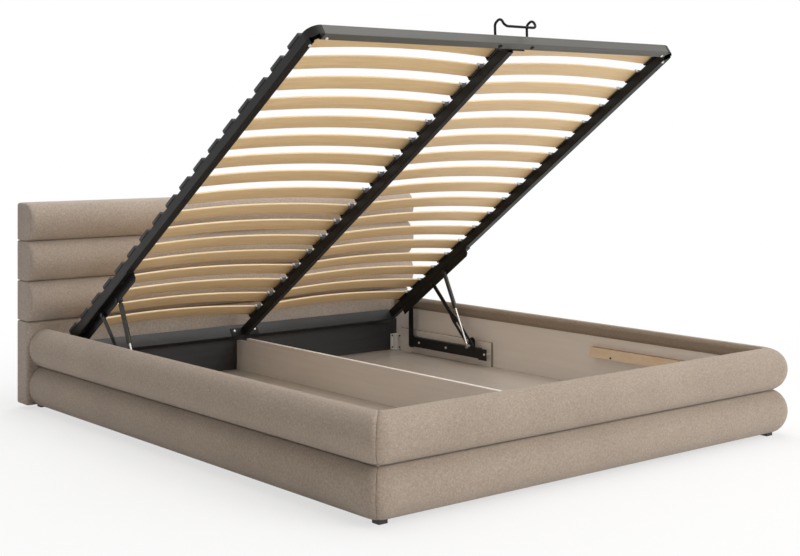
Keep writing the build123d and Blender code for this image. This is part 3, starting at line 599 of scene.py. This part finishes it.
roll = {"around": 44, "cell": 0.016, "blend": 0.09, "blendRings": 6, "crease": 0.95, "firstRing": 0.3,
        "turnShares": [0, 0.125, 0.25, 0.375, 0.5, 0.625, 0.75, 0.875, 0.965, 1],
        "softCorner": 0.045, "tightCorner": 0.010, "softOut": 0.03, "softSpan": 0.042,
        "pinch": 0.04, "pinchReach": 0.004, "leastOut": 0.004, "crownLow": 0.09, "crownDip": 0.0035,
        "endPinch": 0.03, "endReach": 0.005, "outerSteps": 24, "crownSteps": 30,
        "lip": [(0.0026, -0.0010), (0.0006, -0.0045), (0, -0.009)]}


def arcFrom(widest, height, other, otherZ, steps):
    # circle that stands upright at the widest point and passes through the other
    across, rise = widest - other, otherZ - height
    radius = (across ** 2 + rise ** 2) / (2 * across)
    last = math.asin(max(-1, min(1, rise / radius)))
    turns = [last * i / steps for i in range(steps + 1)]
    return [(widest - radius + radius * math.cos(turn), height + radius * math.sin(turn)) for turn in turns]


def rollOutline(level):
    # closed outline: distance out from the board's face, and height
    gap, steps, deep = padding["gap"], roll["outerSteps"], bed["rollDeep"]
    if level == "upper":
        middle = bed["joinZ"] + bed["rollHigh"] / 2
        lowArc = arcFrom(deep, middle, bed["joinOut"], bed["joinZ"] + gap, steps)
        highArc = arcFrom(deep, middle, bed["crownOut"], bed["topZ"], roll["crownSteps"])
        lip = [(bed["innerOut"] + across, bed["topZ"] + rise) for across, rise in roll["lip"]]
        lip.append((bed["innerOut"], bed["boardTop"]))
        points = [(gap, bed["joinZ"] + gap)] + lowArc[::-1] + highArc[1:] + lip + [(gap, bed["boardTop"])]
    else:
        middle = bed["lowZ"] + bed["rollHigh"] / 2
        lowArc = arcFrom(deep, middle, bed["underOut"], bed["lowZ"], steps)
        highArc = arcFrom(deep, middle, bed["joinOut"], bed["joinZ"] - gap, steps)
        points = [(gap, bed["lowZ"])] + lowArc[::-1] + highArc[1:] + [(gap, bed["joinZ"] - gap)]
    points.append(points[0])
    lengths = [0]
    for a, b in zip(points, points[1:]):
        lengths.append(lengths[-1] + math.dist(a, b))
    even = []
    for i in range(roll["around"] + 1):
        want = lengths[-1] * i / roll["around"]
        k = max(j for j in range(len(points) - 1) if lengths[j] <= want + 1e-12)
        share = (want - lengths[k]) / (lengths[k + 1] - lengths[k])
        even.append(tuple(a + (b - a) * share for a, b in zip(points[k], points[k + 1])))
    return even


def cornerReach(out):
    share = max(0, min(1, (roll["softOut"] - out) / roll["softSpan"]))
    return roll["tightCorner"] + (roll["softCorner"] - roll["tightCorner"]) * share


def cornerPlace(part, share, out, height):
    # out past the side board and out past the foot board, near the corner
    reach = cornerReach(out)
    if part == "blend":
        return out, -(roll["blend"] - (roll["blend"] - reach) * share), height
    turn = math.radians(45) * share
    away = (1 - share) * math.radians(45) * (reach + max(out, roll["leastOut"]))
    fold = math.exp(-(away / roll["pinchReach"]) ** 2)
    if out > 0:
        out *= 1 - roll["pinch"] * fold
    if height > bed["joinZ"] + roll["crownLow"]:
        height -= roll["crownDip"] * fold
    return -reach + (reach + out) * math.cos(turn), -reach + (reach + out) * math.sin(turn), height


def blendShares():
    return [i / roll["blendRings"] for i in range(roll["blendRings"])]


def sideStations():
    count = round((bed["headY"] - bed["boardY"] - roll["blend"]) / roll["cell"])
    run = [("run", i / count) for i in range(count)]
    run.insert(1, ("run", roll["firstRing"] / count))
    return run + [("blend", share) for share in blendShares()] + [("turn", share) for share in roll["turnShares"]]


def footStations():
    half = [("turn", share) for share in roll["turnShares"][:0:-1]]
    half += [("blend", 1 - share) for share in blendShares()]
    count = round(2 * (bed["boardX"] - roll["blend"]) / roll["cell"])
    run = [("run", i / count) for i in range(count + 1)]
    return [(*station, 1) for station in half + run] + [(*station, -1) for station in half[::-1]]


def rollPlace(kind, station, out, height, side):
    if kind == "side":
        part, share = station
        if part == "run":
            gone = share * (bed["headY"] - bed["boardY"] - roll["blend"])
            if out > 0:
                out *= 1 - roll["endPinch"] * math.exp(-(gone / roll["endReach"]) ** 2)
            return Vector((side * (bed["boardX"] + out), bed["headY"] - padding["gap"] - gone, height))
        across, beyond, height = cornerPlace(part, share, out, height)
        return Vector((side * (bed["boardX"] + across), bed["boardY"] - beyond + padding["gap"], height))
    part, share, end = station
    if part == "run":
        start = bed["boardX"] - roll["blend"]
        return Vector((start - 2 * start * share, bed["boardY"] - out, height))
    beyond, across, height = cornerPlace(part, share, out, height)
    return Vector((end * (bed["boardX"] + across - padding["gap"]), bed["boardY"] - beyond, height))


def makeRoll(kind, level, side, name, node):
    stations = sideStations() if kind == "side" else footStations()
    outline = rollOutline(level)
    clearSelection()
    bpy.ops.mesh.primitive_grid_add(x_subdivisions=len(stations) - 1, y_subdivisions=roll["around"], size=1,
                                    location=(0, 0, 0))
    piece = bpy.context.object
    for v in piece.data.vertices:
        station = stations[round((v.co.x + 0.5) * (len(stations) - 1))]
        out, height = outline[round((v.co.y + 0.5) * roll["around"])]
        v.co = rollPlace(kind, station, out, height, side)
    editAll(piece)
    bpy.ops.mesh.remove_doubles(threshold=0.00002)
    bpy.ops.mesh.select_mode(type="EDGE")
    bpy.ops.mesh.select_all(action="DESELECT")
    bpy.ops.mesh.select_non_manifold()
    bpy.ops.transform.edge_crease(value=roll["crease"])
    bpy.ops.mesh.select_all(action="SELECT")
    bpy.ops.mesh.fill_holes(sides=0)
    bpy.ops.mesh.select_all(action="SELECT")
    bpy.ops.mesh.normals_make_consistent(inside=False)
    objectMode()
    finishPad(piece, name, node, rollShare, taupeCloth)


for level in ("upper", "lower"):
    makeRoll("side", level, -1, f"leftRoll{level.title()}", f"roll_left_{level}")
    makeRoll("side", level, 1, f"rightRoll{level.title()}", f"roll_right_{level}")
    makeRoll("foot", level, 1, f"footRoll{level.title()}", f"roll_foot_{level}")
print("rolls done")

# the headboard's channels and its flat lower pad

headPad = {"voxel": 0.010, "smooth": 4, "factor": 0.5}


def makeHeadPad(node, name):
    piece = copySolid(node)
    pick(piece)
    piece.data.remesh_voxel_size = headPad["voxel"]
    piece.data.use_remesh_fix_poles = False
    bpy.ops.object.voxel_remesh()
    smooth = piece.modifiers.new("smooth", "SMOOTH")
    smooth.factor = headPad["factor"]
    smooth.iterations = headPad["smooth"]
    applyModifiers(piece)
    finishPad(piece, name, node, channelShare, headClothLightOffset)


for index in (1, 2, 3):
    makeHeadPad(f"headboard_channel_{index}", f"headboardChannel{index}")
makeHeadPad("headboard_lower_pad", "headboardLowerPad")
print("headboard done")

# small builders for hard pieces


def addBar(name, low, high, bevel=0.0, segments=2):
    # a box between two corners with its edges rounded
    clearSelection()
    middle = [(a + b) / 2 for a, b in zip(low, high)]
    bpy.ops.mesh.primitive_cube_add(size=1, location=middle)
    piece = bpy.context.object
    piece.name = name
    piece.scale = [b - a for a, b in zip(low, high)]
    bpy.ops.object.transform_apply(location=True, rotation=True, scale=True)
    if bevel:
        editAll(piece)
        bpy.ops.mesh.bevel(offset=bevel, segments=segments, affect="EDGES")
        objectMode()
    return piece


def clearParts(piece, kind):
    pick(piece)
    bpy.ops.object.mode_set(mode="EDIT")
    bpy.ops.mesh.select_mode(type=kind)
    bpy.ops.mesh.select_all(action="DESELECT")
    objectMode()


def selectFaces(piece, test):
    clearParts(piece, "FACE")
    for face in piece.data.polygons:
        face.select = test(face)
    bpy.ops.object.mode_set(mode="EDIT")


def selectEdges(piece, test):
    clearParts(piece, "EDGE")
    points = piece.data.vertices
    for edge in piece.data.edges:
        edge.select = test(*(points[index].co for index in edge.vertices))
    bpy.ops.object.mode_set(mode="EDIT")


# the raised lid's own axes: x across, -y from the head end, z up from the tube's underside

lid = {"hingeY": 0.8399, "hingeZ": 0.262, "headY": 0.9815, "underZ": 0.2735, "open": 35.0,
       "halfWidth": 0.809, "tubeWidth": 0.030, "tubeHeight": 0.035, "beamHalf": 0.013}
hinge = Vector((0, lid["hingeY"], lid["hingeZ"]))
lidTurn = Matrix.Rotation(math.radians(-lid["open"]), 4, "X")
lidPlace = (Matrix.Translation(hinge) @ lidTurn @ Matrix.Translation(-hinge)
            @ Matrix.Translation((0, lid["headY"], lid["underZ"])))
mirrorX = Matrix.Scale(-1, 4, (1, 0, 0))

# sprung slats

slat = {"count": 17, "width": 0.063, "thickness": 0.008, "rise": 0.020, "inner": 0.0064, "outer": 0.794,
        "low": 0.0385, "first": 0.125, "last": 1.856, "cuts": 23, "round": 0.0026, "longEdge": 0.1, "sideFacing": 0.35}
slatPlaces = [slat["first"] + i * (slat["last"] - slat["first"]) / (slat["count"] - 1) for i in range(slat["count"])]


def runsAcross(a, b):
    return abs(a.x - b.x) > slat["longEdge"]


def makeSlat():
    low = (slat["inner"], -slat["width"], slat["low"])
    piece = addBar("slat", low, (slat["outer"], 0, slat["low"] + slat["thickness"]))
    selectEdges(piece, runsAcross)
    bpy.ops.mesh.bevel(offset=slat["round"], segments=3, affect="EDGES")
    objectMode()
    selectEdges(piece, runsAcross)
    bpy.ops.mesh.subdivide(number_cuts=slat["cuts"])
    objectMode()
    span = slat["outer"] - slat["inner"]
    for v in piece.data.vertices:
        along = (v.co.x - slat["inner"]) / span
        v.co.z += slat["rise"] * (1 - (2 * along - 1) ** 2)
    piece.data.materials.append(beechFace)
    piece.data.materials.append(beechEdge)
    for face in piece.data.polygons:
        face.material_index = 1 if abs(face.normal.y) > slat["sideFacing"] else 0
    return piece


def spreadAlong(master, name, extra=Matrix.Identity(4)):
    copies = [copyOf(master, lidPlace @ extra @ Matrix.Translation((0, -place, 0))) for place in slatPlaces]
    return joinAll(copies, name)


slatMaster = makeSlat()
bothSides = (("right", Matrix.Identity(4)), ("left", mirrorX))
for side, flip in bothSides:
    column = spreadAlong(slatMaster, f"slats{side.title()}", flip)
    if side == "left":
        outwards(column)
    pick(column)
    bpy.ops.object.shade_smooth_by_angle(angle=math.radians(35))
    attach(column, "lid")
    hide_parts(f"slats_{side}")
bpy.data.objects.remove(slatMaster)
print("slats done")

# slat holders

holder = {"wall": 0.002, "height": 0.013, "lip": 0.007, "over": 0.0015, "centreOver": 0.004, "beamTop": 0.025,
          "round": 0.0022, "mouthDepth": 0.019, "mouthRim": 0.0004, "ribs": (0.3, 0.7), "ribEnd": 0.006,
          "ribHalf": 0.0016, "ribSink": 0.0006, "ribRise": 0.0012, "ribRound": 0.0006}
tab = {"width": 0.0045, "sink": 0.002, "rise": 0.001, "round": 0.0012, "lip": 0.001, "sideIn": 0.004, "beamIn": 0.003}


def makeHolder(xLow, xHigh, seat, mouths):
    yLow = -(slat["width"] + holder["wall"])
    top = lid["tubeHeight"] + holder["height"]
    body = addBar("holder", (xLow, yLow, seat), (xHigh, holder["wall"], top), holder["round"], 2)
    for way in mouths:
        limit = xHigh if way > 0 else xLow
        selectFaces(body, lambda face: face.normal.x * way > 0.9 and abs(face.center.x - limit) < 1e-4)
        bpy.ops.mesh.inset(thickness=holder["mouthRim"])
        bpy.ops.mesh.extrude_region_move(TRANSFORM_OT_translate={"value": (-way * holder["mouthDepth"], 0, 0)})
        objectMode()
    parts = [body]
    # two moulded ribs over the top
    for share in holder["ribs"]:
        y = yLow * share
        low = (xLow + holder["ribEnd"], y - holder["ribHalf"], top - holder["ribSink"])
        high = (xHigh - holder["ribEnd"], y + holder["ribHalf"], top + holder["ribRise"])
        parts.append(addBar("rib", low, high, holder["ribRound"], 1))
    return joinAll(parts, "holder")


def makeTab(xLow, xHigh):
    # a pale grey end stop on the foot side of each holder, partly a painted highlight for the glints on the black
    # plastic
    y = -(slat["width"] + holder["wall"]) + tab["sink"]
    low = (xLow, y - tab["width"], lid["tubeHeight"] + tab["sink"])
    high = (xHigh, y, lid["tubeHeight"] + holder["height"] + tab["rise"])
    return addBar("tab", low, high, tab["round"], 2)


tubeInner = lid["halfWidth"] - lid["tubeWidth"]
centreHalf = lid["beamHalf"] + holder["centreOver"]
sideHolder = makeHolder(tubeInner - holder["lip"], lid["halfWidth"] + holder["over"], lid["tubeHeight"], (-1,))
beamHolder = makeHolder(-centreHalf, centreHalf, holder["beamTop"], (-1, 1))
sideTab = makeTab(tubeInner - holder["lip"] - tab["lip"], tubeInner + tab["sideIn"])
beamTab = makeTab(-centreHalf - tab["lip"], -lid["beamHalf"] + tab["beamIn"])
for side, flip in bothSides:
    row = spreadAlong(sideHolder, f"slatHolders{side.title()}", flip)
    if side == "left":
        outwards(row)
    dress(row, blackPlastic, "lid", [f"slat_holders_{side}"])
    tabs = spreadAlong(sideTab, f"holderTabs{side.title()}", flip)
    if side == "left":
        outwards(tabs)
    dress(tabs, tabGreyAndGlint, "lid", [])
row = spreadAlong(beamHolder, "slatHoldersCentre")
dress(row, blackPlastic, "lid", ["slat_holders_centre"])
tabs = [spreadAlong(beamTab, "tabsLeft"), spreadAlong(beamTab, "tabsRight", mirrorX)]
tabs = joinAll(tabs, "holderTabsCentre")
outwards(tabs)
dress(tabs, tabGreyAndGlint, "lid", [])
for master in (sideHolder, beamHolder, sideTab, beamTab):
    bpy.data.objects.remove(master)
print("holders done")

# bolts of the lid: bright at the corners and the beam's flanges, black under the brackets

bolt = {"radius": 0.005, "height": 0.0025, "round": 0.0011, "socket": 0.0020, "rim": 0.0002, "deep": 0.0012,
        "sides": 24, "corners": [(0.787, -1.923), (0.747, -1.958)], "flangeX": 0.049, "flangeZ": 0.0125,
        "headFlange": -0.039, "footFlange": -1.947, "bracketX": 0.794, "bracketY": [-0.200, -0.560],
        "bracketZ": -0.003}


def makeBolt():
    clearSelection()
    bpy.ops.mesh.primitive_cylinder_add(vertices=bolt["sides"], radius=bolt["radius"], depth=bolt["height"],
                                        location=(0, 0, bolt["height"] / 2))
    piece = bpy.context.object
    bpy.ops.object.transform_apply(location=True, rotation=True, scale=True)
    top = bolt["height"] - 0.00001
    selectEdges(piece, lambda a, b: a.z > top and b.z > top)
    bpy.ops.mesh.bevel(offset=bolt["round"], segments=3, affect="EDGES")
    objectMode()
    selectFaces(piece, lambda face: face.normal.z > 0.99 and face.center.z > top)
    bpy.ops.mesh.inset(thickness=bolt["radius"] - bolt["round"] - bolt["socket"])
    bpy.ops.mesh.inset(thickness=bolt["rim"], depth=-bolt["deep"])
    objectMode()
    return piece


def placeBolts(places, name, material, nodes):
    # each place is x, y, z and the turn about x, and both sides get one
    row = []
    for x, y, z, way in places:
        for side in (1, -1):
            turn = Matrix.Rotation(math.radians(way), 4, "X")
            row.append(copyOf(boltMaster, lidPlace @ Matrix.Translation((side * x, y, z)) @ turn))
    dress(joinAll(row, name), material, "lid", nodes)


boltMaster = makeBolt()
bright = [(x, y, 0, 180) for x, y in bolt["corners"]]
bright.append((bolt["flangeX"], bolt["headFlange"], bolt["flangeZ"], 90))
bright.append((bolt["flangeX"], bolt["footFlange"], bolt["flangeZ"], -90))
placeBolts(bright, "boltsBright", zincPlate, ["lid_bolts"])
black = [(bolt["bracketX"], y, bolt["bracketZ"], 180) for y in bolt["bracketY"]]
placeBolts(black, "boltsBlack", linkCoat, [])
bpy.data.objects.remove(boltMaster)
print("bolts done")

# moulded blocks that join the rails at the corners

corner = {"wall": 0.847, "headY": 0.9835, "footY": -1.011, "low": 0.058, "high": 0.128, "reach": 0.036,
          "flange": 0.003, "body": 0.0215, "cut": 0.0105, "inset": 0.001, "plate": 0.003, "plateReach": 0.034,
          "plateCut": 0.020, "round": 0.0006}


def makeCornerBar(reach, cut, low, high):
    # a square block with its inner upright edge cut off
    bar = addBar("cornerBar", (0, 0, low), (reach, reach, high))
    selectEdges(bar, lambda a, b: min(a.x, b.x, a.y, b.y) > reach / 2)
    bpy.ops.mesh.bevel(offset=cut, segments=1, affect="EDGES")
    bpy.ops.mesh.select_all(action="SELECT")
    bpy.ops.mesh.bevel(offset=corner["round"], segments=2, affect="EDGES")
    objectMode()
    return bar


def makeCornerBlock():
    low, high, plate = corner["low"], corner["high"], corner["plate"]
    parts = [
        addBar("flangeX", (0, 0, low), (corner["reach"], corner["flange"], high), corner["round"], 2),
        addBar("flangeY", (0, 0, low), (corner["flange"], corner["reach"], high), corner["round"], 2),
        makeCornerBar(corner["body"], corner["cut"], low + corner["inset"], high - corner["inset"]),
        makeCornerBar(corner["plateReach"], corner["plateCut"], low, low + plate),
        makeCornerBar(corner["plateReach"], corner["plateCut"], high - plate, high),
    ]
    return joinAll(parts, "cornerBlock")


cornerMaster = makeCornerBlock()
blocks = []
for side in (1, -1):
    for y, way in ((corner["headY"], -1), (corner["footY"], 1)):
        place = Matrix.Translation((side * corner["wall"], y, 0)) @ Matrix.Diagonal((-side, way, 1, 1))
        blocks.append(copyOf(cornerMaster, place))
whole = joinAll(blocks, "cornerBlocks")
outwards(whole)
dress(whole, whitePlastic, "base", ["corner_connectors"])
bpy.data.objects.remove(cornerMaster)
print("corner blocks done")

# cover turned in over the rails, and the backing cloth

lining = {"low": 0.251, "high": 0.2945, "thickness": 0.0016, "stand": 0.0014, "wave": 0.0007, "cell": 0.012,
          "hem": 0.0011, "hemShare": 0.12}


def unevenCloth(along, up, seed):
    # 0.6 of a broad wave and 0.4 of a fine one
    broad = noise.noise(Vector((along * 9, up * 1.5, seed * 7)))
    fine = noise.noise(Vector((along * 31, up * 3, 2)))
    return broad * 0.6 + fine * 0.4


def addStrip(name, start, end, inward):
    # a strip of cloth along a line, gently uneven, with a rolled lower hem
    start, end, inward = Vector(start), Vector(end), Vector(inward)
    low, tall, length = lining["low"], lining["high"] - lining["low"], (end - start).length
    clearSelection()
    columns = max(2, int(length / lining["cell"]))
    rows = max(2, int(tall / lining["cell"]))
    bpy.ops.mesh.primitive_grid_add(x_subdivisions=columns, y_subdivisions=rows, size=1, location=(0, 0, 0))
    piece = bpy.context.object
    piece.name = name
    along = (end - start).normalized()
    for v in piece.data.vertices:
        share, up = v.co.x + 0.5, v.co.y + 0.5
        place = start + along * length * share
        place.z = low + tall * up
        soft = unevenCloth(share * length, up, low)
        hem = lining["hem"] * max(0, 1 - abs(up - lining["hemShare"]) / lining["hemShare"])
        place += inward * (lining["stand"] + hem + lining["wave"] * (0.5 + soft) * (1 - up))
        v.co = place
    piece.data.update()
    outwards(piece)
    turnTowards(piece, len(piece.data.polygons) // 2, inward)
    thicken(piece, lining["thickness"])
    return piece


linings = {
    "liningRight": ((0.847, 0.995, 0), (0.847, -1.011, 0), (-1, 0, 0), "rail_board_right"),
    "liningLeft": ((-0.847, -1.011, 0), (-0.847, 0.995, 0), (1, 0, 0), "rail_board_left"),
    "liningFoot": ((0.845, -1.011, 0), (-0.845, -1.011, 0), (0, 1, 0), "rail_board_foot"),
}
for name, (start, end, inward, board) in linings.items():
    strip = addStrip(name, start, end, inward)
    replaced = ["lining_strips"] if name == "liningRight" else []
    dress(strip, liningCloth, "base", replaced, smooth=0)
    shadeSoft(strip)

backing = {"half": 0.916, "low": 0.017, "high": 0.756, "y": 1.0825, "thickness": 0.0012, "columns": 60, "rows": 26,
           "sag": 0.0009, "pull": 0.0011, "pullReach": 0.06, "staples": 62, "sideLook": 200}
clearSelection()
bpy.ops.mesh.primitive_grid_add(x_subdivisions=backing["columns"], y_subdivisions=backing["rows"], size=1)
backCloth = bpy.context.object
for v in backCloth.data.vertices:
    across, up = v.co.x, v.co.y + 0.5
    edge = min(0.5 - abs(across), up, 1 - up)
    pull = 0.5 + 0.5 * math.sin(across * 2 * backing["half"] * backing["staples"])
    sag = backing["sag"] * noise.noise(Vector((across * 6, up * 4, 3)))
    sag += backing["pull"] * pull * max(0, 1 - edge / backing["pullReach"])
    height = backing["low"] + up * (backing["high"] - backing["low"])
    v.co = (across * 2 * backing["half"], backing["y"] + sag, height)
outwards(backCloth)
turnTowards(backCloth, backing["sideLook"], Vector((0, 1, 0)))
thicken(backCloth, backing["thickness"])
backCloth.name = "backingCloth"
dress(backCloth, backingCloth, "base", ["headboard_back_cover"], smooth=0)
shadeSoft(backCloth)
print("linings and backing done")
